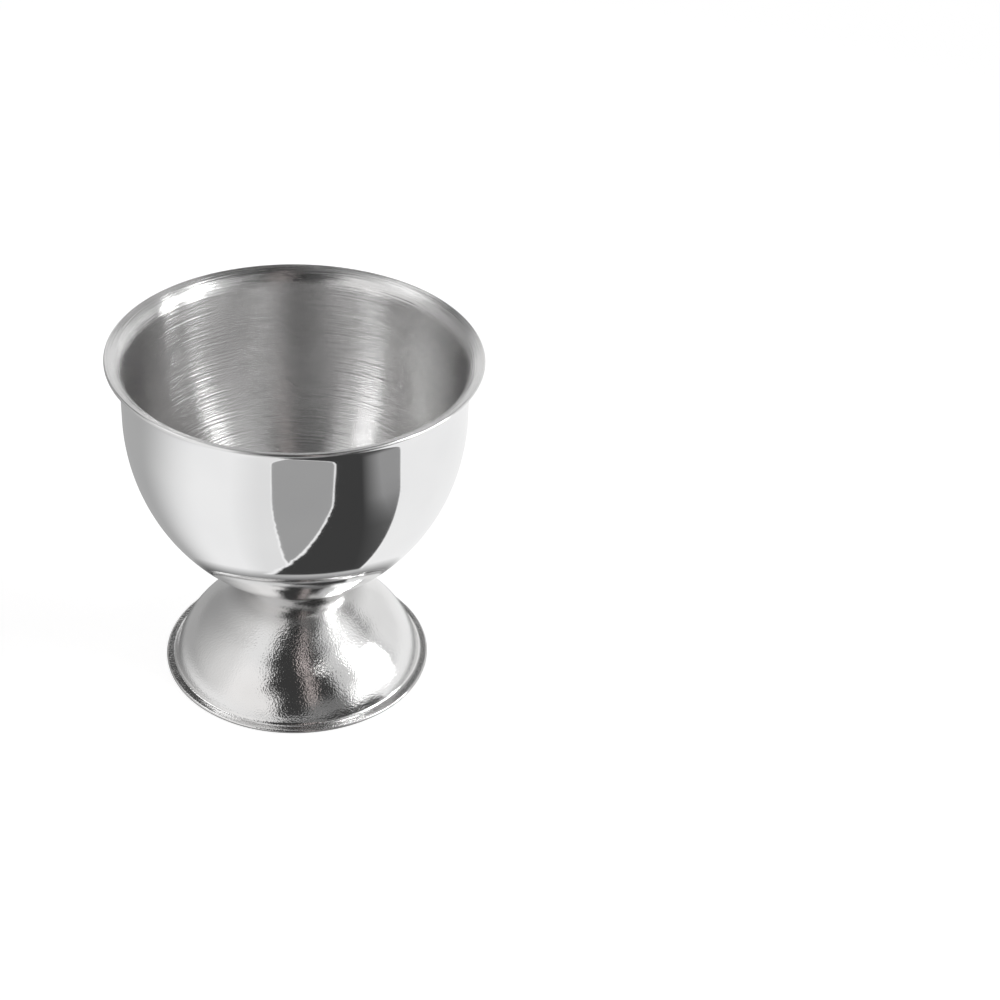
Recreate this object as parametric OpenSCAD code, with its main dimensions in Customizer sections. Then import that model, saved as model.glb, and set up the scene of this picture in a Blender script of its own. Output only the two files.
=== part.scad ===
// Egg cup of stainless steel sheet: a drawn bowl with a flared lip, standing on a pressed
// dome of a foot. The foot's crown is dished to the bowl's underside, and one spot weld
// through the two sheets joins them. The origin is on the table, under the middle of the
// foot, with Z up. Every piece turns about the Z axis, so each is one outline, written as
// [distance from the axis, height], carried round by rotate_extrude().

/* [Bowl] */
// Diameter of the bowl's upright wall, outside
bowl_d = 46.2; // [44.8:0.1:47.6]
// Height of the bowl, from its underside to the top of the lip
bowl_h = 36.4; // [34.5:0.1:42]
// Radius of the bowl's round bottom, outside
bottom_r = 19; // [17:0.1:20.5]
// How much higher than on a half ball the wall turns upright
side_rise = 4.3; // [1.5:0.1:6]
// Thickness of the bowl's sheet
bowl_t = 0.5; // [0.4:0.05:0.8]

/* [Lip] */
// How far the lip stands out from the upright wall
lip_w = 1.9; // [1.5:0.1:2.6]
// Angle that the lip turns outwards, from the upright wall
lip_turn = 80; // [62:1:90]

/* [Foot] */
// Diameter over the flange that stands on the table
foot_d = 37.8; // [35.5:0.1:42]
// Height of the foot, from the table to the underside of the bowl
foot_h = 13.6; // [12.5:0.1:17]
// Radius of the foot's dome, outside
dome_r = 16.5; // [15:0.1:24]
// Width of the flat flange outside the dome
flange_w = 0.9; // [0.7:0.1:1.6]
// Radius between the flange and the dome
flange_bend_r = 0.5; // [0.3:0.05:1]
// Thickness of the foot's sheet
foot_t = 0.5; // [0.4:0.05:0.7]

/* [Neck] */
// Diameter of the neck, where the foot meets the bowl
neck_d = 14.4; // [12.6:0.1:15.6]
// Height of the neck's upright wall
neck_wall_h = 0.1; // [0.1:0.1:1.2]
// Radius of the hollow curve from the neck to the shoulder
neck_hollow_r = 2.8; // [1.6:0.1:3.6]
// Slope of the straight shoulder between the hollow and the dome, from level
shoulder_slope = 38; // [34:1:44]
// Radius at the edge of the crown, outside
crown_bend_r = 0.8; // [0.8:0.05:1.4]

/* [Spot weld] */
// Diameter of the fused nugget
weld_d = 4; // [3:0.1:5]
// How far the nugget reaches into each sheet, as a share of the sheet
weld_depth_share = 0.5; // [0.3:0.05:0.6]
// Diameter of the mark that each electrode leaves
mark_d = 5; // [4.2:0.1:6]
// Depth of that mark
mark_depth = 0.06; // [0.02:0.01:0.1]

/* [Hidden] */

// Longest facet of a curved outline, its largest turn on a tight bend, and the facets round
// a full circle
facet_l = 1;
facet_turn = 15;
$fn = 120;
// Steps from the middle of the nugget to its rim
weld_steps = 6;

bowl_r = bowl_d / 2;
foot_r = foot_d / 2;
neck_r = neck_d / 2;

// The bowl's bottom is an arc about a point on the axis. The wall is a wider arc, tangent
// to the bottom arc at wall_a and upright at side_h above the bowl's underside. Angles are
// read from the +X axis.
side_h = bowl_r + side_rise;
seat_c = [0, foot_h + bottom_r];
wall_drop = side_h - bottom_r;
wall_r = (bowl_r ^ 2 + wall_drop ^ 2 - bottom_r ^ 2) / (2 * (bowl_r - bottom_r));
wall_c = [bowl_r - wall_r, foot_h + side_h];
wall_a = -atan2(wall_drop, wall_r - bowl_r);

// The lip bends outwards about lip_c, and its cut edge is tumbled to a full round.
lip_mid_r = lip_w / (1 - cos(lip_turn));
lip_under_r = lip_mid_r - bowl_t / 2;
lip_top_r = lip_mid_r + bowl_t / 2;
lip_c = [bowl_r + lip_under_r, foot_h + bowl_h - bowl_t / 2 - lip_mid_r * sin(lip_turn)];
lip_edge_c = polar(lip_c, lip_mid_r, 180 - lip_turn);

// The crown's edge touches both the seat's arc and the upright neck.
crown_in = neck_r - crown_bend_r;
crown_c = seat_c + [crown_in, -sqrt((bottom_r + crown_bend_r) ^ 2 - crown_in ^ 2)];
crown_a = heading(seat_c, crown_c);

// The shoulder is straight, and tangent to the neck's hollow and to the dome, so the dome's
// centre lies on a line beside it. The bend of the flange touches the dome from outside,
// and that says where on the line.
neck_c = [neck_r + neck_hollow_r, crown_c.y - neck_wall_h];
flange_c = [foot_r - flange_w, foot_t + flange_bend_r];
shoulder_a = 90 - shoulder_slope;
beside_shoulder = polar(neck_c, neck_hollow_r + dome_r, shoulder_a + 180);
dome_c = on_line(beside_shoulder, shoulder_a + 90, flange_c, dome_r + flange_bend_r);
dome_foot_a = heading(dome_c, flange_c);

// Half angles, seen from seat_c, of the nugget and of the marks on the two sheets
weld_a = asin(weld_d / 2 / bottom_r);
bowl_mark_a = asin(mark_d / 2 / (bottom_r - bowl_t));
foot_mark_a = asin(mark_d / 2 / (bottom_r + foot_t));

// The point at distance r and angle a from c
function polar(c, r, a) = c + r * [cos(a), sin(a)];

// The angle at which a line leaves from, on its way to to
function heading(from, to) = atan2(to.y - from.y, to.x - from.x);

// An arc about c from angle a to angle b, without its first point, which the outline has
function arc(c, r, a, b) =
    let (turn = abs(b - a))
    let (steps = ceil(max(turn / facet_turn, turn * PI / 180 * r / facet_l)))
    [for (i = [1:steps]) polar(c, r, a + (b - a) * i / steps)];

// The last point that is r from c, on the line through p that runs at angle a
function on_line(p, a, c, r) =
    let (run = [cos(a), sin(a)], back = (p - c) * run)
    p + run * (sqrt(back ^ 2 - norm(p - c) ^ 2 + r ^ 2) - back);

// Half of the nugget's outline, from the axis to its rim on the seat: an ellipse bent along
// the seat, this deep in one sheet. A depth under zero is in the bowl.
function weld_face(depth) =
    [for (i = [0:weld_steps])
        let (turn = 90 * i / weld_steps)
        polar(seat_c, bottom_r + depth * cos(turn), weld_a * sin(turn) - 90)];

// The seat, where the two sheets touch, from the nugget's rim to the edge of the crown
function seat() = arc(seat_c, bottom_r, weld_a - 90, crown_a);

// A sheet's face from angle a to the axis, r from seat_c, with the mark's step at angle m
function marked_face(r, a, m, marked_r) = concat(
    arc(seat_c, r, a, m - 90),
    [polar(seat_c, marked_r, m - 90)],
    arc(seat_c, marked_r, m - 90, -90));

function bowl_underside() = concat(
    weld_face(-bowl_t * weld_depth_share),
    seat(),
    arc(seat_c, bottom_r, crown_a, wall_a),
    arc(wall_c, wall_r, wall_a, 0));

function lip() = concat(
    [[bowl_r, lip_c.y]],
    arc(lip_c, lip_under_r, 180, 180 - lip_turn),
    arc(lip_edge_c, bowl_t / 2, -lip_turn, 180 - lip_turn),
    arc(lip_c, lip_top_r, 180 - lip_turn, 180));

function bowl_inside() = concat(
    [[bowl_r - bowl_t, wall_c.y]],
    arc(wall_c, wall_r - bowl_t, 0, wall_a),
    marked_face(bottom_r - bowl_t, wall_a, bowl_mark_a, bottom_r - bowl_t + mark_depth));

function foot_outside() = concat(
    weld_face(foot_t * weld_depth_share),
    seat(),
    arc(crown_c, crown_bend_r, crown_a + 180, 0),
    [[neck_r, neck_c.y]],
    arc(neck_c, neck_hollow_r, 180, shoulder_a + 180),
    [polar(dome_c, dome_r, shoulder_a)],
    arc(dome_c, dome_r, shoulder_a, dome_foot_a),
    arc(flange_c, flange_bend_r, dome_foot_a + 180, 270));

function flange_edge() = concat(
    [[foot_r - foot_t / 2, foot_t]],
    arc([foot_r - foot_t / 2, foot_t / 2], foot_t / 2, 90, -90));

function foot_inside() = concat(
    [[flange_c.x, 0]],
    arc(flange_c, flange_bend_r + foot_t, 270, dome_foot_a + 180),
    arc(dome_c, dome_r - foot_t, dome_foot_a, shoulder_a),
    [polar(neck_c, neck_hollow_r + foot_t, shoulder_a + 180)],
    arc(neck_c, neck_hollow_r + foot_t, shoulder_a + 180, 180),
    [[neck_r - foot_t, crown_c.y]],
    arc(crown_c, crown_bend_r - foot_t, 0, crown_a + 180),
    marked_face(bottom_r + foot_t, crown_a, foot_mark_a, bottom_r + foot_t - mark_depth));

// Mirror-polished outside, turned inside
module bowl() {
    color("silver")
        rotate_extrude()
            polygon(concat(bowl_underside(), lip(), bowl_inside()));
}

// Satin sheet, open underneath
module foot() {
    color("darkgray")
        rotate_extrude()
            polygon(concat(foot_outside(), flange_edge(), foot_inside()));
}

// The steel that melted between the electrodes, half in each sheet
module spot_weld() {
    face_up = weld_face(-bowl_t * weld_depth_share);
    face_down = weld_face(foot_t * weld_depth_share);
    color("dimgray")
        rotate_extrude()
            polygon(concat(face_down, [for (i = [weld_steps - 1:-1:0]) face_up[i]]));
}

bowl();
foot();
spot_weld();
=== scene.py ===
# %% [markdown]
# This file dresses an egg cup of stainless steel sheet: a bowl drawn from one disc, a foot pressed
# from another, and the spot weld that joins them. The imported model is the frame. It says where each
# piece is and how large, and nothing here moves it. The bowl and the foot are turned again as
# smooth shells, because a mirror finish shows every flat facet.

import bpy
import numpy as np
from mathutils import Matrix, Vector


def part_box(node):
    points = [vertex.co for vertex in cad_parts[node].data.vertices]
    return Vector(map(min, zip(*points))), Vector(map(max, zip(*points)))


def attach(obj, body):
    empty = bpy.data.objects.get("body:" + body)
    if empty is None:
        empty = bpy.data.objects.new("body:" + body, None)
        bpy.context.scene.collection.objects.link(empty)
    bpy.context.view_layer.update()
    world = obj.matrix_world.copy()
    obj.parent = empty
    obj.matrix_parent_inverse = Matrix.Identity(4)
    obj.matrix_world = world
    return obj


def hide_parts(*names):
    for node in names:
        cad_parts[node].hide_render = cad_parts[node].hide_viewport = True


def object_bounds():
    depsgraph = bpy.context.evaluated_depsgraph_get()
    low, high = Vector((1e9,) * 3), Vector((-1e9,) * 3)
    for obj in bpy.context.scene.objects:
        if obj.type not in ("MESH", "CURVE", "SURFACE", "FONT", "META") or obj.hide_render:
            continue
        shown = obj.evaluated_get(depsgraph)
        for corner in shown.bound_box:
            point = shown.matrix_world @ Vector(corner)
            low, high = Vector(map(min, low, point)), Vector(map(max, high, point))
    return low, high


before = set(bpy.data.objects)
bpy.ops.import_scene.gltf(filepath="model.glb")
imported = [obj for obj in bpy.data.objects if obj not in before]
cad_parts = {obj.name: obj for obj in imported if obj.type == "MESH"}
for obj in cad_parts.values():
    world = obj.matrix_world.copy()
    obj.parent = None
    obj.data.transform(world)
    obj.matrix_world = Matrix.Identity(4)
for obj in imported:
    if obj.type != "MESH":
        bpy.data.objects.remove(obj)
cad_low, cad_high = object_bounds()
print("frame nodes:", sorted(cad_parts), "box:", tuple(cad_low), tuple(cad_high))

# %% [markdown]
# Every piece of the cup turns about the Z axis, so each is one outline in a plane, written as
# [distance from the axis, height] in millimetres. The overall sizes are read from the frame. The
# others are the ones that a die maker would keep: the radii of the punches, the sheet's thickness
# and the width of the flange, and for the weld its nugget and the marks of the electrodes.

# %% Sizes of the cup
MM = 0.001
lip_r = cad_high.x / MM
cup_h = cad_high.z / MM
flange_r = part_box("foot")[1].x / MM
sheet_t = 0.5

wall_r = 23.1
bottom_r = 19.0
side_rise = 4.3
lip_turn = 80.0

foot_h = 13.6
neck_r = 7.2
neck_wall_h = 0.1
neck_hollow_r = 2.8
shoulder_slope = 38.0
crown_bend_r = 0.8
dome_r = 16.5
flange_w = 0.9
flange_bend_r = 0.5

nugget_r = 2.0
nugget_depth = sheet_t / 2
nugget_steps = 6
mark_r = 2.5
mark_depth = 0.06
# Width of the mark's sloping edge
mark_edge_w = 0.3
print(f"lip {2 * lip_r:.2f} mm, height {cup_h:.2f} mm, flange {2 * flange_r:.2f} mm")

# %% [markdown]
# An outline is made of arcs. One helper gives a point at an angle, one gives an arc as evenly
# spaced points, and one a straight stretch. The spacing is half a millimetre or less, and tight
# bends get a point every few degrees, so that reflections glide over them.

# %% Helpers for outlines
point_gap = 0.45
point_turn = 7.0


def polar(centre, radius, angle):
    """Points at a distance radius from centre, at angle degrees from the +X axis."""
    a = np.radians(np.atleast_1d(angle))
    return np.asarray(centre) + np.stack([np.cos(a), np.sin(a)], 1) * np.reshape(radius, (-1, 1))


def arc(centre, radius, start, end):
    """An arc about centre from angle start to angle end, without its first point."""
    turn = abs(end - start)
    steps = int(np.ceil(max(turn / point_turn, np.radians(turn) * radius / point_gap)))
    return polar(centre, radius, start + (end - start) * np.arange(1, steps + 1) / steps)


def line(start, end):
    """A straight stretch from start to end, without its first point."""
    start, end = np.asarray(start, float), np.asarray(end, float)
    steps = int(np.ceil(np.linalg.norm(end - start) / point_gap))
    return start + (end - start) * (np.arange(1, steps + 1) / steps)[:, None]


def heading(start, end):
    """The angle in degrees at which a line leaves start on its way to end."""
    return np.degrees(np.arctan2(end[1] - start[1], end[0] - start[0]))


def on_line(point, angle, centre, radius):
    """The last point that is radius from centre, on the line through point at that angle."""
    run = polar([0, 0], 1, angle)[0]
    off = point - centre
    back = off @ run
    return point + run * (np.sqrt(back ** 2 - off @ off + radius ** 2) - back)


print(f"a point every {point_gap} mm or {point_turn} degrees, whichever is closer")

# %% [markdown]
# The bowl's outline starts on the axis, at the top of the weld's nugget, runs out along the round
# bottom, up the wall, round the flared lip and its tumbled edge, and down the inside back to the
# axis. The bottom is one arc and the wall a wider one, tangent to it, which is how a drawing punch
# is ground. The sheet's inside follows the same two centres at a radius that is one sheet less.

# %% Centres and angles of the bowl
seat_c = np.array([0.0, foot_h + bottom_r])
wall_drop = wall_r + side_rise - bottom_r
side_r = (wall_r ** 2 + wall_drop ** 2 - bottom_r ** 2) / (2 * (wall_r - bottom_r))
side_c = np.array([wall_r - side_r, foot_h + wall_r + side_rise])
side_a = -np.degrees(np.arctan2(wall_drop, side_r - wall_r))

lip_mid_r = (lip_r - wall_r) / (1 - np.cos(np.radians(lip_turn)))
lip_under_r = lip_mid_r - sheet_t / 2
lip_top_r = lip_mid_r + sheet_t / 2
lip_rise = lip_mid_r * np.sin(np.radians(lip_turn)) + sheet_t / 2
lip_c = np.array([wall_r + lip_under_r, cup_h - lip_rise])
lip_edge_c = polar(lip_c, lip_mid_r, 180 - lip_turn)[0]

crown_in = neck_r - crown_bend_r
crown_c = seat_c + [crown_in, -np.sqrt((bottom_r + crown_bend_r) ** 2 - crown_in ** 2)]
crown_a = heading(seat_c, crown_c)
nugget_a = np.degrees(np.arcsin(nugget_r / bottom_r))
print(f"the wall's arc is {side_r:.1f} mm, tangent to the bottom at {side_a:.1f} degrees")

# %% [markdown]
# Where the weld was made, both sheets differ from a plain arc. The nugget is a flat lens, so its
# face is half an ellipse bent along the seat. On the far side of each sheet the electrode pressed
# a shallow round mark, which has no sharp edge, so its depth comes in with a smooth step.

# %% Faces at the weld
def nugget_face(depth):
    """Half an ellipse bent along the seat: depth * cos(t) deep, nugget_a * sin(t) round."""
    t = np.radians(90) * np.arange(nugget_steps + 1) / nugget_steps
    return polar(seat_c, bottom_r + depth * np.cos(t), nugget_a * np.sin(t) - 90)


def marked_face(radius, start, mark):
    """A sheet's inner face from angle start to the axis, moved from seat_c by mark times the
    smooth step 3 s^2 - 2 s^3, where s goes from 0 outside the mark's edge to 1 inside it."""
    points = arc(seat_c, radius, start, -90)
    s = np.clip((mark_r - np.abs(points[:, 0])) / mark_edge_w + 0.5, 0, 1)
    away = (points - seat_c) / radius
    return points + away * (mark * s * s * (3 - 2 * s))[:, None]


print(f"the nugget spans {2 * nugget_a:.1f} degrees of the seat")

# %% [markdown]
# The outline is kept in three stretches, because each gets a finish of its own later: the outside,
# the tumbled edge of the lip, and the inside, which begins on top of the flare.

# %% Outline of the bowl
bowl_outside = np.vstack([
    nugget_face(-nugget_depth),
    arc(seat_c, bottom_r, nugget_a - 90, crown_a),
    arc(seat_c, bottom_r, crown_a, side_a),
    arc(side_c, side_r, side_a, 0),
    line(side_c + [side_r, 0], [wall_r, lip_c[1]]),
    arc(lip_c, lip_under_r, 180, 180 - lip_turn),
])
bowl_lip = arc(lip_edge_c, sheet_t / 2, -lip_turn, 180 - lip_turn)
bowl_inside = np.vstack([
    arc(lip_c, lip_top_r, 180 - lip_turn, 180),
    line([wall_r - sheet_t, lip_c[1]], [wall_r - sheet_t, side_c[1]]),
    arc(side_c, side_r - sheet_t, 0, side_a),
    marked_face(bottom_r - sheet_t, side_a, mark_depth),
])
print("bowl outline:", len(bowl_outside), len(bowl_lip), len(bowl_inside), "points")

# %% [markdown]
# The foot's outline runs the other way about, so that its faces too point out of the steel: from
# the axis under the crown, down the hollow side of the dome, round the flange's edge, and up the
# outside. A straight shoulder joins the dome to the hollow of the neck and is tangent to both, so
# the dome's centre lies on a line beside it, as far from the flange's bend as two touching circles.

# %% Outline of the foot
neck_c = np.array([neck_r + neck_hollow_r, crown_c[1] - neck_wall_h])
flange_c = np.array([flange_r - flange_w, sheet_t + flange_bend_r])
shoulder_a = 90 - shoulder_slope
beside_shoulder = polar(neck_c, neck_hollow_r + dome_r, shoulder_a + 180)[0]
dome_c = on_line(beside_shoulder, shoulder_a + 90, flange_c, dome_r + flange_bend_r)
dome_foot_a = heading(dome_c, flange_c)
edge_c = np.array([flange_r - sheet_t / 2, sheet_t / 2])

foot_under = np.vstack([
    marked_face(bottom_r + sheet_t, crown_a, -mark_depth)[::-1],
    arc(crown_c, crown_bend_r - sheet_t, crown_a + 180, 0),
    line([neck_r - sheet_t, crown_c[1]], [neck_r - sheet_t, neck_c[1]]),
    arc(neck_c, neck_hollow_r + sheet_t, 180, shoulder_a + 180),
    line(polar(neck_c, neck_hollow_r + sheet_t, shoulder_a + 180)[0],
         polar(dome_c, dome_r - sheet_t, shoulder_a)[0]),
    arc(dome_c, dome_r - sheet_t, shoulder_a, dome_foot_a),
    arc(flange_c, flange_bend_r + sheet_t, dome_foot_a + 180, 270),
])
foot_outside = np.vstack([
    line(foot_under[-1], [edge_c[0], 0]),
    arc(edge_c, sheet_t / 2, -90, 90),
    line([edge_c[0], sheet_t], [flange_c[0], sheet_t]),
    arc(flange_c, flange_bend_r, 270, dome_foot_a + 180),
    arc(dome_c, dome_r, dome_foot_a, shoulder_a),
    line(polar(dome_c, dome_r, shoulder_a)[0], polar(neck_c, neck_hollow_r, shoulder_a + 180)[0]),
    arc(neck_c, neck_hollow_r, shoulder_a + 180, 180),
    line([neck_r, neck_c[1]], [neck_r, crown_c[1]]),
    arc(crown_c, crown_bend_r, 0, crown_a + 180),
    arc(seat_c, bottom_r, crown_a, nugget_a - 90),
    nugget_face(nugget_depth)[::-1][1:],
])
print("foot outline:", len(foot_under), len(foot_outside), "points")

# %% [markdown]
# A shell of revolution is a grid: one parameter runs along the outline, the other round the axis.
# The two ends of the outline lie on the axis, where each ring shrinks to one point and the grid
# closes with a fan of triangles.

# %% Points and faces of a shell
round_steps = 288


def shell_points(outline):
    """Each outline point (r, z) becomes the ring (r cos t, r sin t, z), with t from 0 to 360
    degrees. The two ends on the axis come last, one point each."""
    rings = outline[1:-1]
    t = 2 * np.pi * np.arange(round_steps) / round_steps
    ring_xyz = np.stack([
        rings[:, :1] * np.cos(t),
        rings[:, :1] * np.sin(t),
        np.repeat(rings[:, 1:], round_steps, 1),
    ], 2)
    first = [0.0, 0.0, outline[0, 1]]
    last = [0.0, 0.0, outline[-1, 1]]
    return np.vstack([ring_xyz.reshape(-1, 3), [first, last]]) * MM


def shell_faces(ring_count):
    """Faces of four corners between each ring and the next, then a fan of triangles at the first
    end and one at the last. Point number = ring * round_steps + step."""
    ring, step = np.meshgrid(np.arange(ring_count - 1), np.arange(round_steps), indexing="ij")
    after = (step + 1) % round_steps
    corner_ring = np.stack([ring, ring, ring + 1, ring + 1], 2)
    corner_step = np.stack([step, after, after, step], 2)
    quads = corner_ring * round_steps + corner_step

    step, after = step[0], after[0]
    first_end = np.full(round_steps, ring_count * round_steps)
    last_ring = (ring_count - 1) * round_steps
    first_fan = np.stack([first_end, after, step], 1)
    last_fan = np.stack([first_end + 1, last_ring + step, last_ring + after], 1)
    return quads.reshape(-1, 4).tolist() + first_fan.tolist() + last_fan.tolist()


print(f"{round_steps} steps round, {2 * np.pi * lip_r / round_steps:.2f} mm apart at the lip")

# %% [markdown]
# A shader can smear light across the grooves of a turned sheet if it knows which way they run. So
# the shell gets a UV map with its U round the axis, which is the way that a turning tool moves. It
# is worked out from the grid and not unwrapped, so it fits the shell exactly.

# %% UV map of a shell
def shell_uv(along):
    """For each corner of shell_faces, U = the share of a turn round the axis, and V = the share of
    the way along the outline. On a fan, the point on the axis takes the middle of its step."""
    share = along / along[-1]
    step = np.arange(round_steps)
    start, middle, end = step / round_steps, (step + 0.5) / round_steps, (step + 1) / round_steps
    low, high = share[1:-2], share[2:-1]
    quad_u = np.tile(np.stack([start, end, end, start], 1), (len(low), 1))
    quad_v = np.repeat(np.stack([low, low, high, high], 1), round_steps, 0)
    first_u = np.stack([middle, end, start], 1)
    first_v = np.tile([0, share[1], share[1]], (round_steps, 1))
    last_u = np.stack([middle, start, end], 1)
    last_v = np.tile([1, share[-2], share[-2]], (round_steps, 1))
    pairs = ((quad_u, quad_v), (first_u, first_v), (last_u, last_v))
    return np.vstack([np.stack([u.ravel(), v.ravel()], 1) for u, v in pairs])


print(f"each step round the axis is {1 / round_steps:.5f} of U")

# %% [markdown]
# The real bowl is one sheet with three finishes, so a shell is one mesh with several materials, and
# each face takes that of its stretch of the outline. Each point also keeps its distance along the
# outline, so that a line of grain stays the same width from the wall to the bottom.

# %% Turn an outline into a shell
def face_stretches(lengths):
    """The number of the stretch that each face of shell_faces lies in, from the point counts of
    the stretches. A face belongs to the stretch of the ring at its far end."""
    of_point = np.repeat(np.arange(len(lengths)), lengths)
    ends = np.repeat([0, len(lengths) - 1], round_steps)
    return np.r_[np.repeat(of_point[2:-1], round_steps), ends]


def turned_shell(name, stretches):
    """A shell turned from stretches, a list of (outline points, material), one after the other.
    The distance along is the sum of the steps from each outline point to the next."""
    outline = np.vstack([points for points, _ in stretches])
    along = np.r_[0, np.cumsum(np.linalg.norm(np.diff(outline, axis=0), axis=1))]
    faces = shell_faces(len(outline) - 2)
    mesh = bpy.data.meshes.new(name)
    mesh.from_pydata(shell_points(outline).tolist(), [], faces)

    uv = shell_uv(along).astype(np.float32)
    mesh.uv_layers.new(name="turning").uv.foreach_set("vector", uv.ravel())
    distance = np.r_[np.repeat(along[1:-1], round_steps), 0, along[-1]].astype(np.float32)
    mesh.attributes.new("along", "FLOAT", "POINT").data.foreach_set("value", distance)

    stretch = face_stretches([len(points) for points, _ in stretches])
    for _, material in stretches:
        mesh.materials.append(material)
    mesh.polygons.foreach_set("material_index", stretch.astype(np.int32))
    mesh.polygons.foreach_set("use_smooth", np.ones(len(faces), bool))
    mesh.update()
    piece = bpy.data.objects.new(name, mesh)
    bpy.context.scene.collection.objects.link(piece)
    print(f"{name}: {len(outline)} outline points, {len(faces)} faces")
    return piece


# %% [markdown]
# Node trees are easier to read when each node is made, set and linked in one call. The first helper
# takes the values of the inputs by name or number, and links the ones that are sockets. The others
# are short forms for the kinds of node that come up again and again.

# %% Helpers for nodes
def node(tree, kind, inputs=None, **settings):
    """Adds a node of that kind, sets its settings, and sets or links its inputs."""
    made = tree.nodes.new(kind)
    for name, value in settings.items():
        setattr(made, name, value)
    for name, value in (inputs or {}).items():
        if isinstance(value, bpy.types.NodeSocket):
            tree.links.new(value, made.inputs[name])
        else:
            made.inputs[name].default_value = value
    return made


def math_node(tree, operation, *values):
    """The result of a Math node that works on the given numbers or sockets."""
    return node(tree, "ShaderNodeMath", dict(enumerate(values)), operation=operation).outputs[0]


def vector_node(tree, operation, *values, out="Vector"):
    """A result of a Vector Math node that works on the given vectors or sockets."""
    inputs = dict(enumerate(values))
    return node(tree, "ShaderNodeVectorMath", inputs, operation=operation).outputs[out]


def range_node(tree, value, start, end, low=0.0, high=1.0, kind="LINEAR"):
    """A value from start to end spread over low to high, and held there beyond both ends."""
    inputs = {"Value": value, "From Min": start, "From Max": end, "To Min": low, "To Max": high}
    return node(tree, "ShaderNodeMapRange", inputs, interpolation_type=kind).outputs["Result"]


def mix_node(tree, share, none, full, kind="FLOAT"):
    """A mix of two numbers, vectors or colours: none at a share of 0, and full at a share of 1."""
    inputs = {"Factor": share, "A": none, "B": full}
    return node(tree, "ShaderNodeMix", inputs, data_type=kind).outputs["Result"]


def new_material(name):
    """A material, its empty node tree, and the Object coordinates in that tree."""
    material = bpy.data.materials.new(name)
    material.use_nodes = True
    material.node_tree.nodes.clear()
    place = node(material.node_tree, "ShaderNodeTexCoord").outputs["Object"]
    return material, material.node_tree, place


# %% [markdown]
# What several finishes share, such as lines or a pebble, is built once as a node group. Its named
# inputs are the dials that each finish sets for itself.

# %% Helpers for groups
def new_group(name, inputs, outputs, vectors=()):
    """An empty node group with its inputs, given as {name: default}, or None for a vector, and the
    names of its number and vector outputs."""
    group = bpy.data.node_groups.new(name, "ShaderNodeTree")
    for label, value in inputs.items():
        kind = "NodeSocketVector" if value is None else "NodeSocketFloat"
        socket = group.interface.new_socket(label, in_out="INPUT", socket_type=kind)
        if value is not None:
            socket.default_value = value
    for label in outputs:
        group.interface.new_socket(label, in_out="OUTPUT", socket_type="NodeSocketFloat")
    for label in vectors:
        group.interface.new_socket(label, in_out="OUTPUT", socket_type="NodeSocketVector")
    ends = node(group, "NodeGroupInput").outputs, node(group, "NodeGroupOutput").inputs
    return group, *ends


def use_group(tree, group, inputs):
    """The outputs of a group placed in a tree, with the given input values or sockets."""
    return node(tree, "ShaderNodeGroup", inputs, node_tree=group).outputs


# %% [markdown]
# A turned or buffed sheet is covered with fine lines that run round the axis. A noise texture
# becomes such lines when it is stretched: slow round the axis, fast along the outline. Reading the
# noise at (cos t, sin t, distance along the outline) has no seam, because the first two come back
# to where they started. A second, slow noise pushes the lines up and down a little, so that they
# run at a slight slant and cross, as strokes of an abrasive do.

# %% Group: lines of turning
line_patch_scale = 90.0


def ring_lines_group():
    """Height = a noise at (Reach cos t, Reach sin t, Lines (Along + Slant (Patches - 0.5))), with
    Patches = a slow noise at the place itself."""
    group, given, result = new_group(
        "ring_lines",
        {"Place": None, "Along": 0.0, "Lines": 8.0, "Reach": 3.0, "Slant": 0.3},
        ["Height", "Patches"],
    )
    facing = vector_node(group, "NORMALIZE",
                         vector_node(group, "MULTIPLY", given["Place"], (1, 1, 0)))
    far = vector_node(group, "MULTIPLY", facing, given["Reach"])
    slow = node(group, "ShaderNodeTexNoise",
                {"Vector": given["Place"], "Scale": line_patch_scale, "Detail": 2.0}).outputs["Fac"]
    shift = math_node(group, "MULTIPLY", math_node(group, "SUBTRACT", slow, 0.5), given["Slant"])
    height = math_node(group, "MULTIPLY", math_node(group, "ADD", given["Along"], shift),
                       given["Lines"])
    lift = node(group, "ShaderNodeCombineXYZ", {"Z": height}).outputs[0]
    fine = node(group, "ShaderNodeTexNoise",
                {"Vector": vector_node(group, "ADD", far, lift), "Scale": 1.0, "Detail": 2.5,
                 "Roughness": 0.6})
    group.links.new(fine.outputs["Fac"], result["Height"])
    group.links.new(slow, result["Patches"])
    return group


ring_lines = ring_lines_group()
print("group:", ring_lines.name, "with", len(ring_lines.nodes), "nodes")

# %% [markdown]
# A pressed and tumbled sheet has no lines but a fine pebble, like the skin of an orange. Two
# noises of different grain make it, with no direction of their own.

# %% Group: pebble of a pressed sheet
pebble_patch_scale = 110.0
# Scale of the wider grain, as a share of the fine one's
wide_grain_share = 0.22


def pebble_group():
    """Height = a noise of scale Grain + Coarse * a wider noise, and Patches = a slow noise."""
    group, given, result = new_group(
        "pebble", {"Place": None, "Grain": 2600.0, "Coarse": 0.35}, ["Height", "Patches"])
    place, grain = given["Place"], given["Grain"]
    fine = node(group, "ShaderNodeTexNoise", {"Vector": place, "Scale": grain, "Detail": 1.0})
    wide_grain = math_node(group, "MULTIPLY", grain, wide_grain_share)
    wide = node(group, "ShaderNodeTexNoise", {"Vector": place, "Scale": wide_grain, "Detail": 2.0})
    slow = node(group, "ShaderNodeTexNoise",
                {"Vector": place, "Scale": pebble_patch_scale, "Detail": 3.0})
    coarse = math_node(group, "MULTIPLY", wide.outputs["Fac"], given["Coarse"])
    both = math_node(group, "ADD", fine.outputs["Fac"], coarse)
    group.links.new(both, result["Height"])
    group.links.new(slow.outputs["Fac"], result["Patches"])
    return group


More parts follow.
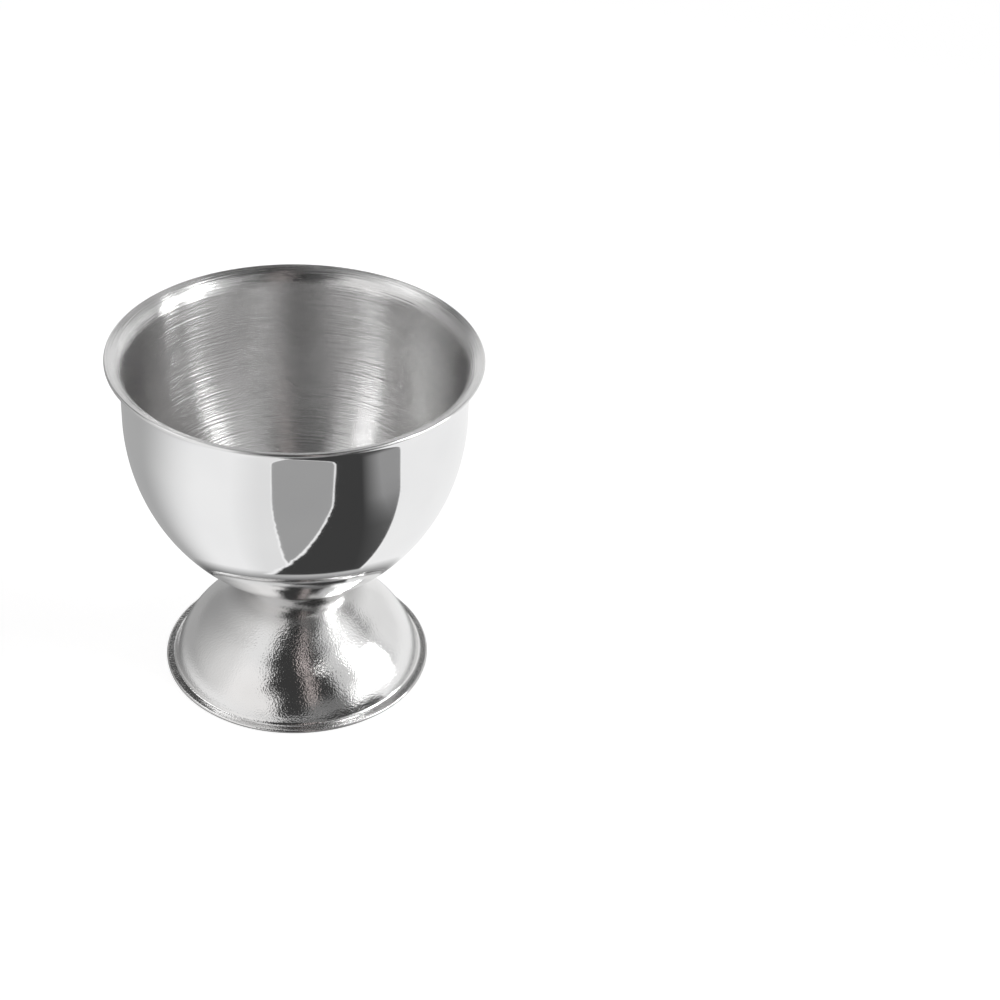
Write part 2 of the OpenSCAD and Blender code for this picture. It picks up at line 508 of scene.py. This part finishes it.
pebble = pebble_group()
print("group:", pebble.name, "with", len(pebble.nodes), "nodes")

# %% [markdown]
# Bare steel has no colour but what it reflects, so its base colour is a grey, its metallic value is
# one, and the rest is roughness and relief. The helpers keep what all the steels share: a noise is
# spread over a range of roughness or over two greys, so that no patch of steel is quite like the
# next, and a bump gives the relief in millimetres. A noise texture seldom leaves the range from 0.3
# to 0.7, so that is the range that is spread.

# %% Helpers for steels
noise_low = 0.3
noise_high = 0.7
quarter_turn = 0.25


def ramp(tree, noise, low, high):
    """A noise spread over low to high."""
    return range_node(tree, noise, noise_low, noise_high, low, high)


def tint(tree, noise, dark, light):
    """A colour between two greys, picked by a noise."""
    return mix_node(tree, ramp(tree, noise, 0.0, 1.0), (*dark, 1), (*light, 1), kind="RGBA")


def finish_steel(tree, color, roughness, height, relief, anisotropic=0.0):
    """A Principled metal with a bump of relief millimetres. Where it is anisotropic, its tangent
    runs along U, and the quarter turn smears light along V, across the lines."""
    bump = node(tree, "ShaderNodeBump", {"Height": height, "Distance": relief * MM, "Strength": 1.0})
    metal = node(tree, "ShaderNodeBsdfPrincipled",
                 {"Base Color": color, "Roughness": roughness, "Normal": bump.outputs["Normal"]})
    metal.inputs["Metallic"].default_value = 1.0
    metal.inputs["Anisotropic"].default_value = anisotropic
    if anisotropic > 0:
        metal.inputs["Anisotropic Rotation"].default_value = quarter_turn
        round_axis = node(tree, "ShaderNodeTangent", direction_type="UV_MAP", uv_map="turning")
        tree.links.new(round_axis.outputs[0], metal.inputs["Tangent"])
    node(tree, "ShaderNodeOutputMaterial", {"Surface": metal.outputs[0]})


def steel_lines(tree, place, dials):
    """The outputs of ring_lines, read at a place and at the distance kept along the outline."""
    along = node(tree, "ShaderNodeAttribute", attribute_name="along").outputs["Fac"]
    return use_group(tree, ring_lines, {"Place": place, "Along": along, **dials})


def steel_pebble(tree, place, grain):
    """The outputs of pebble, read at a place, with a grain of that scale."""
    return use_group(tree, pebble, {"Place": place, "Grain": grain})


# %% [markdown]
# Outside, the bowl is buffed to a mirror. What is left of the buffing is a trace of ring-wise lines
# and a faint waviness, enough to make the edge of a reflection wander.

# %% Mirror polish
def mirror_polish():
    material, tree, place = new_material("mirror_polish")
    lines = steel_lines(tree, place, {"Lines": 5.0, "Reach": 5.0})
    color = tint(tree, lines["Patches"], dark=(0.86, 0.86, 0.865), light=(0.9, 0.9, 0.9))
    roughness = ramp(tree, lines["Height"], low=0.035, high=0.075)
    finish_steel(tree, color, roughness, lines["Height"], relief=0.0006)
    return material


mirror_steel = mirror_polish()
print("finish:", mirror_steel.name)

# %% [markdown]
# Inside, the bowl was turned with an abrasive pad, and so was the top of the flare. Each groove
# mirrors like a tiny cylinder, so light is smeared across the grooves, up and down the wall, and
# stays sharp round the axis. That is what the anisotropy of the shader does, once its tangent
# follows the UV map. The relief is deeper than a real groove, so that single lines still show in a
# picture of the whole cup.

# %% Turned inside
def turned_inside():
    material, tree, place = new_material("turned_inside")
    lines = steel_lines(tree, place, {"Lines": 3.0, "Reach": 2.0, "Slant": 0.12})
    color = tint(tree, lines["Patches"], dark=(0.76, 0.757, 0.755), light=(0.84, 0.838, 0.835))
    roughness = ramp(tree, lines["Patches"], low=0.22, high=0.26)
    finish_steel(tree, color, roughness, lines["Height"], relief=0.13, anisotropic=1.0)
    return material


turned_steel = turned_inside()
print("finish:", turned_steel.name)

# %% [markdown]
# The cut edge of the sheet is tumbled to a full round and then dressed with a finer pad. Its lines
# are shallower than those inside, and they wander more, so the edge shows as one soft bright ring.

# %% Dressed lip
def dressed_lip():
    material, tree, place = new_material("dressed_lip")
    lines = steel_lines(tree, place, {"Lines": 4.0, "Reach": 5.0, "Slant": 0.3})
    color = tint(tree, lines["Patches"], dark=(0.82, 0.82, 0.82), light=(0.88, 0.88, 0.88))
    roughness = ramp(tree, lines["Patches"], low=0.20, high=0.28)
    finish_steel(tree, color, roughness, lines["Height"], relief=0.02, anisotropic=0.9)
    return material


dressed_steel = dressed_lip()
print("finish:", dressed_steel.name)

# %% [markdown]
# The foot is satin: tumbled with small stones after pressing, so the pebble breaks up the edge of
# every reflection. In the narrow groove under the bowl, a darker grey is painted in as shade, and the
# steel there is also made rougher. Height alone says where that is, so the painted shade is mixed in
# between two heights on the neck, and no mask has to be drawn.

# %% Satin foot
# Painted shade: the darker grey of the neck, in the groove under the bowl
neck_shade_grey = (0.52, 0.515, 0.51)
neck_roughness = 0.12
neck_shade_start = 9.8
neck_shade_full = 12.4


def satin_foot():
    material, tree, place = new_material("satin_foot")
    grain = steel_pebble(tree, place, grain=4200.0)
    height = node(tree, "ShaderNodeSeparateXYZ", {0: place}).outputs["Z"]
    # Painted shade: a darker grey mixed in between two heights on the neck, under the bowl
    neck_shade = range_node(tree, height, neck_shade_start * MM, neck_shade_full * MM, kind="SMOOTHSTEP")
    clean = tint(tree, grain["Patches"], dark=(0.80, 0.795, 0.79), light=(0.86, 0.857, 0.855))
    color = mix_node(tree, neck_shade, clean, (*neck_shade_grey, 1), kind="RGBA")
    roughness = math_node(tree, "ADD", ramp(tree, grain["Patches"], low=0.075, high=0.11),
                          math_node(tree, "MULTIPLY", neck_shade, neck_roughness))
    finish_steel(tree, color, roughness, grain["Height"], relief=0.025)
    return material


satin_steel = satin_foot()
print("finish:", satin_steel.name)

# %% [markdown]
# Two finishes are hardly ever seen. Under the dome the sheet keeps the dull skin that it had from
# the mill. The nugget is steel that melted and set between the electrodes, darker and rougher.

# %% Mill finish and fused steel
def mill_finish():
    material, tree, place = new_material("mill_finish")
    grain = steel_pebble(tree, place, grain=1800.0)
    color = tint(tree, grain["Patches"], dark=(0.66, 0.655, 0.65), light=(0.74, 0.735, 0.73))
    roughness = ramp(tree, grain["Height"], low=0.32, high=0.46)
    finish_steel(tree, color, roughness, grain["Height"], relief=0.006)
    return material


def fused_steel():
    material, tree, place = new_material("fused_steel")
    grain = steel_pebble(tree, place, grain=5200.0)
    color = tint(tree, grain["Patches"], dark=(0.38, 0.375, 0.37), light=(0.5, 0.49, 0.48))
    roughness = ramp(tree, grain["Height"], low=0.45, high=0.7)
    finish_steel(tree, color, roughness, grain["Height"], relief=0.01)
    return material


mill_steel = mill_finish()
nugget_steel = fused_steel()
print("finishes:", mill_steel.name, "and", nugget_steel.name)

# %% [markdown]
# Now the pieces. The bowl is one closed sheet with three finishes, given stretch by stretch along
# its outline. The foot is another sheet with two. The weld keeps its CAD shape, hidden between the
# sheets, and only gets its finish.

# %% Make the pieces
bowl = turned_shell("drawn_bowl", [
    (bowl_outside, mirror_steel),
    (bowl_lip, dressed_steel),
    (bowl_inside, turned_steel),
])
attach(bowl, "root")
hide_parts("bowl")

foot = turned_shell("pressed_foot", [(foot_under, mill_steel), (foot_outside, satin_steel)])
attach(foot, "root")
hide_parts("foot")

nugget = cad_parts["spot_weld"]
nugget.material_slots[0].material = nugget_steel

# %% [markdown]
# A polished cup is lit by its surroundings: what shows on it is the studio. Lamps would leave most
# of it black, so the studio is written as the world: a dark room with panels of light in it. A
# panel has a level, a place and soft edges, and lies over those before it. Its place is a bearing,
# where 0 is the camera's side and 90 is the right, and a height above the table, both in degrees.
# Pale walls stand behind and on the left, where they fade into a darker corner. On the right, two
# narrow tall lights stand in a bright window. In front, where the camera looks in, is a dark gap
# with a dim strip and a small window in it.

# %% Panels of light
room_level = 0.07
# Name: level (one grey, or red, green and blue), bearing from, to and soft edge, height from, to
# and soft edge
panels = {
    "back wall, right": (0.84, 100, 190, 14, -10, 33, 8),
    "back wall, left": (0.84, -190, -146, 10, 2, 33, 8),
    "back ceiling, right": (0.40, 104, 172, 14, 33, 58, 10),
    "left corner": (0.33, -152, -80, 12, -10, 44, 14),
    "left wall": ((0.88, 0.875, 0.87), -100, -24, 84, -10, 58, 14),
    "left wall, near end": ((0.95, 0.94, 0.935), -66, -20, 12, -10, 50, 10),
    "left ceiling": (0.36, -165, -44, 14, 56, 92, 10),
    "upper left light": (1.5, -150, -96, 12, 47, 66, 8),
    "upper left light, near end": (0.88, -80, -30, 12, 40, 66, 8),
    "right wall": (0.66, 37, 104, 8, -10, 60, 12),
    "front gap, high": (0.045, -43, 33, 9, 46, 78, 10),
    "front gap, middle": (0.045, -32, 33, 9, 22, 52, 10),
    "front gap, low": (0.045, -18, 38, 9, -10, 28, 10),
    "front gap, right foot": (0.2, 8, 46, 8, -10, 15, 8),
    "front strip, low": ((0.54, 0.48, 0.465), 9, 16, 4, 14, 45, 12),
    "front strip, high": ((0.78, 0.69, 0.675), 5, 13, 4, 45, 68, 12),
    "front window": ((1.9, 1.9, 1.87), 26, 33, 4, 42, 50, 4),
    "right window": (1.0, 60, 95, 8, -10, 60, 12),
    "right window, low": (1.5, 50, 84, 8, -10, 18, 8),
    "tall light, near": (11.0, 68, 75, 3, 12, 46, 8),
    "tall light, far": (19.0, 87.5, 91.5, 3, 1, 28, 6),
}
print("panels:", ", ".join(panels))

# %% [markdown]
# A panel is a mask over the directions. Each of its four edges is a smooth step, half before the
# edge and half past it, and the four multiplied are 1 on the panel and 0 off it. All panels share
# that, so it is one group.

# %% Group: one panel
def panel_group():
    """Light = Under off the panel and Level on it. An edge's step runs over distance past the edge
    / softness from -0.5 to 0.5."""
    group, given, result = new_group(
        "panel",
        {"Bearing": 0.0, "Height": 0.0, "Under": None, "Level": None, "From": 0.0, "To": 0.0,
         "Side": 5.0, "Low": 0.0, "High": 0.0, "Fade": 5.0},
        [], ["Light"],
    )
    edges = (("Bearing", "From", 1.0, "Side"), ("Bearing", "To", -1.0, "Side"),
             ("Height", "Low", 1.0, "Fade"), ("Height", "High", -1.0, "Fade"))
    mask = 1.0
    for value, edge, side, soft in edges:
        past = math_node(group, "SUBTRACT", given[value], given[edge])
        inwards = math_node(group, "MULTIPLY", past, side)
        share = math_node(group, "DIVIDE", inwards, given[soft])
        step = range_node(group, share, -0.5, 0.5, kind="SMOOTHSTEP")
        mask = math_node(group, "MULTIPLY", mask, step)
    light = mix_node(group, mask, given["Under"], given["Level"], kind="VECTOR")
    group.links.new(light, result["Light"])
    return group


panel = panel_group()
print("group:", panel.name, "with", len(panel.nodes), "nodes")

# %% [markdown]
# The world strings the group together, once for each panel, over the level of the dark room. The
# camera itself sees plain white instead, as in the photo, and that adds no light to the cup.

# %% World: the room that the steel mirrors
def mirrored_room():
    """For a direction (x, y, z): bearing = atan2(x, -y) and height = asin(z), in degrees."""
    world = bpy.data.worlds.new("mirrored_room")
    world.use_nodes = True
    tree = world.node_tree
    tree.nodes.clear()
    toward = node(tree, "ShaderNodeTexCoord").outputs["Generated"]
    split = node(tree, "ShaderNodeSeparateXYZ", {0: toward}).outputs
    back = math_node(tree, "MULTIPLY", split["Y"], -1.0)
    bearing = math_node(tree, "DEGREES", math_node(tree, "ARCTAN2", split["X"], back))
    height = math_node(tree, "DEGREES", math_node(tree, "ARCSINE", split["Z"]))
    light = np.full(3, room_level)
    for level, start, end, side, low, high, fade in panels.values():
        light = use_group(tree, panel, {
            "Bearing": bearing, "Height": height, "Under": light, "Level": np.full(3, level),
            "From": start, "To": end, "Side": side, "Low": low, "High": high, "Fade": fade})["Light"]
    seen = node(tree, "ShaderNodeLightPath").outputs["Is Camera Ray"]
    shown = mix_node(tree, seen, light, (1, 1, 1, 1), kind="RGBA")
    glow = node(tree, "ShaderNodeBackground", {"Color": shown})
    node(tree, "ShaderNodeOutputWorld", {"Surface": glow.outputs[0]})
    return world


bpy.context.scene.world = mirrored_room()
print("world:", bpy.context.scene.world.name, "with", len(panels), "panels")

# %% [markdown]
# The floor is white paper. It takes light from the room, so the cup's soft shadow lies on it, and a
# plain emission lifts it to white for the camera alone, so that no extra light falls on the cup.
# Further out, the shadow no longer matters, and the paper fades into the white behind it.

# %% Floor: what the camera sees
floor_r = 500.0
floor_steps = 96
paper = 0.55
lift = 0.74
fade_start = 120.0
fade_end = 300.0


def shown_paper(tree, far, path):
    """Grey paper plus the lift, fading to plain white between two distances from the axis."""
    lit = node(tree, "ShaderNodeBsdfDiffuse", {"Color": (paper, paper, paper, 1)})
    lifted = node(tree, "ShaderNodeEmission",
                  {"Strength": math_node(tree, "MULTIPLY", path["Is Camera Ray"], lift)})
    near = node(tree, "ShaderNodeAddShader", {0: lit.outputs[0], 1: lifted.outputs[0]})
    white = node(tree, "ShaderNodeEmission", {"Strength": path["Is Camera Ray"]})
    fade = range_node(tree, far, fade_start * MM, fade_end * MM, kind="SMOOTHSTEP")
    inputs = {0: fade, 1: near.outputs[0], 2: white.outputs[0]}
    return node(tree, "ShaderNodeMixShader", inputs).outputs[0]


print(f"floor: {2 * floor_r:.0f} mm wide, plain white beyond {fade_end:.0f} mm from the axis")

# %% [markdown]
# Steel mirrors the floor too, and in the photo it doesn't show one white sheet. The sheet is dimmer
# in front, falls off behind on the left, and is darkest where the flange stands on it. So the steel
# sees a level that is worked out from the place on the floor. Front and back are told by the turn,
# which is y / distance from the axis: -1 straight in front of the cup, and 1 straight behind it.

# %% Floor: the sheet that the steel sees
sheet_level = 0.93
front_level = 0.81
front_turns = (-0.78, -0.93)
left_level = 0.42
left_start = -2.0
left_end = -12.0
left_turns = (-0.55, 0.35)
contact_level = 0.25
contact_r = 24.0


def open_sheet(tree, split, far):
    """The sheet's level before anything lies on it, at the place (split) and distance (far)."""
    # Painted shade for glossy rays: dimmer in front, darker behind on the left, and a painted contact
    # shadow round the flange
    turn = math_node(tree, "DIVIDE", split["Y"], far)
    front = range_node(tree, turn, *front_turns, sheet_level, front_level)
    leftwards = range_node(tree, split["X"], left_start * MM, left_end * MM, kind="SMOOTHSTEP")
    backwards = range_node(tree, turn, *left_turns, kind="SMOOTHSTEP")
    sheet = mix_node(tree, math_node(tree, "MULTIPLY", leftwards, backwards), front, left_level)
    contact = range_node(tree, far, flange_r * MM, contact_r * MM, contact_level, 1.0)
    return math_node(tree, "MULTIPLY", sheet, contact)


print(f"sheet: level {sheet_level}, {front_level} in front and {left_level} behind on the left")

# %% [markdown]
# In front of the cup, three dark shapes cross the sheet: a deep shadow next to the cup, a paler one
# beside it, and further off the dark gap between the sheet and the room. Each lies between two
# straight edges, because a mirror bends them into the curves of the photo by itself. An edge is a
# point on it, in millimetres, and its bearing in degrees from the +X axis.

# %% Floor: edges of the shapes
deep_shade = 0.05
deep_left = (-5.6, -24.0, -56.9)
deep_right = (17.0, -13.3, -24.0)
pale_shade = 0.36
pale_left = (-3.5, -30.0, -108.0)
pale_right = (-6.6, -24.0, -57.4)
near_end = 21.5
gap_shade = 0.06
gap_left = (-55.0, -85.0, -123.0)
gap_right = (55.0, -85.0, -57.0)
gap_end = 96.0
gap_blur = 12.0
edge_blur = 0.8


def beside(tree, place, edge, side, out=0.0, blur=edge_blur):
    """1 on the left (side 1) or right (side -1) of an edge, seen along its bearing, and 0 on the
    other, with a straight step of blur millimetres, moved outwards by out."""
    x, y, bearing = edge
    a = np.radians(bearing)
    across = np.array([-np.sin(a), np.cos(a), 0]) * side
    off = vector_node(tree, "DOT_PRODUCT", place, across, out="Value")
    start = float(across @ [x * MM, y * MM, 0]) - out * MM
    return range_node(tree, off, start - blur * MM / 2, start + blur * MM / 2)


print(f"shapes start {near_end} mm from the axis, and the gap {gap_end} mm")

# %% [markdown]
# The shapes are laid over the sheet one after the other, the far one first. A narrow white border
# goes under each, as a lit paper edge shows in the photo. The place at which a left edge is read is
# moved by a noise, so the edge wanders. The deep shape isn't one level but has a glow on its right.
# None of them reaches behind the cup.

# %% Floor: the shapes in front of the cup
border_w = 1.0
front_fade = 4.0
wander_scale = 260.0
wander_w = 2.2

glow_level = 0.32
glow_edge = (47.5, -46.1, -54.8)
glow_blur = 18.0
glow_near = 50.0
glow_far = 85.0
glow_near_share = 0.3


def wandering(tree, place):
    """The place moved by a noise, by up to half of wander_w each way."""
    rough = node(tree, "ShaderNodeTexNoise",
                 {"Vector": place, "Scale": wander_scale, "Detail": 3.0}).outputs["Color"]
    push = vector_node(tree, "SUBTRACT", rough, np.full(3, 0.5))
    shift = vector_node(tree, "MULTIPLY", push, np.full(3, wander_w * MM))
    return vector_node(tree, "ADD", place, shift)


def deep_level(tree, place, far):
    """deep_shade, rising to glow_level past the glow's edge, and less so near the cup."""
    from_cup = range_node(tree, far, glow_near * MM, glow_far * MM, low=glow_near_share)
    past_edge = beside(tree, place, glow_edge, 1, blur=glow_blur)
    glow = math_node(tree, "MULTIPLY", past_edge, from_cup)
    return mix_node(tree, glow, deep_shade, glow_level)


def mirrored_floor(tree, place, far):
    """The open sheet with the shapes laid over it in turn, each after its white border."""
    split = node(tree, "ShaderNodeSeparateXYZ", {0: place}).outputs
    level = open_sheet(tree, split, far)
    torn = wandering(tree, place)
    in_front = range_node(tree, split["Y"], 0.0, -front_fade * MM)
    shapes = (
        (gap_left, gap_right, gap_end, gap_shade, gap_blur),
        (pale_left, pale_right, near_end, pale_shade, edge_blur),
        (deep_left, deep_right, near_end, deep_level(tree, place, far), edge_blur),
    )
    for left, right, end, shade, blur in shapes:
        beyond = range_node(tree, far, end * MM, (end + blur) * MM)
        clear = math_node(tree, "MULTIPLY", beyond, in_front)
        for out, tone in ((border_w, 1.0), (0.0, shade)):
            between = math_node(tree, "MULTIPLY", beside(tree, torn, left, 1, out, blur),
                                beside(tree, place, right, -1, out, blur))
            level = mix_node(tree, math_node(tree, "MULTIPLY", between, clear), level, tone)
    return level


print(f"deep shape: level {deep_shade}, and {glow_level} in its glow")

# %% [markdown]
# Light Path tells the two apart: a glossy ray comes from the steel and sees the mirrored floor, and
# every other ray sees the paper. The floor is one flat disc, and it belongs to the picture, not to
# the cup.

# %% Floor: put together
def floor_paper():
    """The paper, or for a glossy ray the level that the steel sees, as plain emission."""
    material, tree, place = new_material("floor_paper")
    far = vector_node(tree, "LENGTH", place, out="Value")
    path = node(tree, "ShaderNodeLightPath").outputs
    shown = shown_paper(tree, far, path)
    mirrored = node(tree, "ShaderNodeEmission", {"Strength": mirrored_floor(tree, place, far)})
    surface = node(tree, "ShaderNodeMixShader",
                   {0: path["Is Glossy Ray"], 1: shown, 2: mirrored.outputs[0]})
    node(tree, "ShaderNodeOutputMaterial", {"Surface": surface.outputs[0]})
    return material


def flat_disc(name, radius, steps, material):
    """One flat face on the table, with the corners (radius cos t, radius sin t, 0)."""
    t = np.linspace(0, 2 * np.pi, steps, endpoint=False)
    corners = np.stack([radius * np.cos(t), radius * np.sin(t), 0 * t], 1) * MM
    mesh = bpy.data.meshes.new(name)
    mesh.from_pydata(corners.tolist(), [], [list(range(steps))])
    mesh.materials.append(material)
    made = bpy.data.objects.new(name, mesh)
    bpy.context.scene.collection.objects.link(made)
    return made


floor = flat_disc("floor", floor_r, floor_steps, floor_paper())
print("staged:", floor.name, "with", len(floor.active_material.node_tree.nodes), "nodes")

# %% [markdown]
# The camera stands where the photographer stood, about 28 cm from the cup, looking down on it. The
# cup is left of the middle, so the camera looks a little past it to the right, and it is tipped a
# little too. Its axes are written out: forward from the two angles, then right and up, turned by
# the tip. Blender keeps the width of the sensor and the length of the lens in millimetres.

# %% Camera
camera_back = 220.46 * MM
camera_height = 177.96 * MM
look_down = np.radians(34.34)
look_right = np.radians(7.32)
tip = np.radians(3.82)
sensor = 36.0
lens = 69.03
nearest_seen = 10.0 * MM

forward = np.array([np.sin(look_right) * np.cos(look_down),
                    np.cos(look_right) * np.cos(look_down),
                    -np.sin(look_down)])
level_right = np.cross(forward, [0, 0, 1])
level_right /= np.linalg.norm(level_right)
level_up = np.cross(level_right, forward)
right = level_right * np.cos(tip) + level_up * np.sin(tip)
up = level_up * np.cos(tip) - level_right * np.sin(tip)

camera_data = bpy.data.cameras.new("camera")
camera_data.sensor_width = sensor
camera_data.lens = lens
camera_data.clip_start = nearest_seen
camera = bpy.data.objects.new("camera", camera_data)
placed = np.eye(4)
placed[:3, :4] = np.stack([right, up, -forward, [0, -camera_back, camera_height]], 1)
camera.matrix_world = Matrix(placed.tolist())
bpy.context.scene.collection.objects.link(camera)
bpy.context.scene.camera = camera
bpy.context.scene.view_settings.view_transform = "Standard"
print("camera at", tuple(camera.matrix_world.translation))
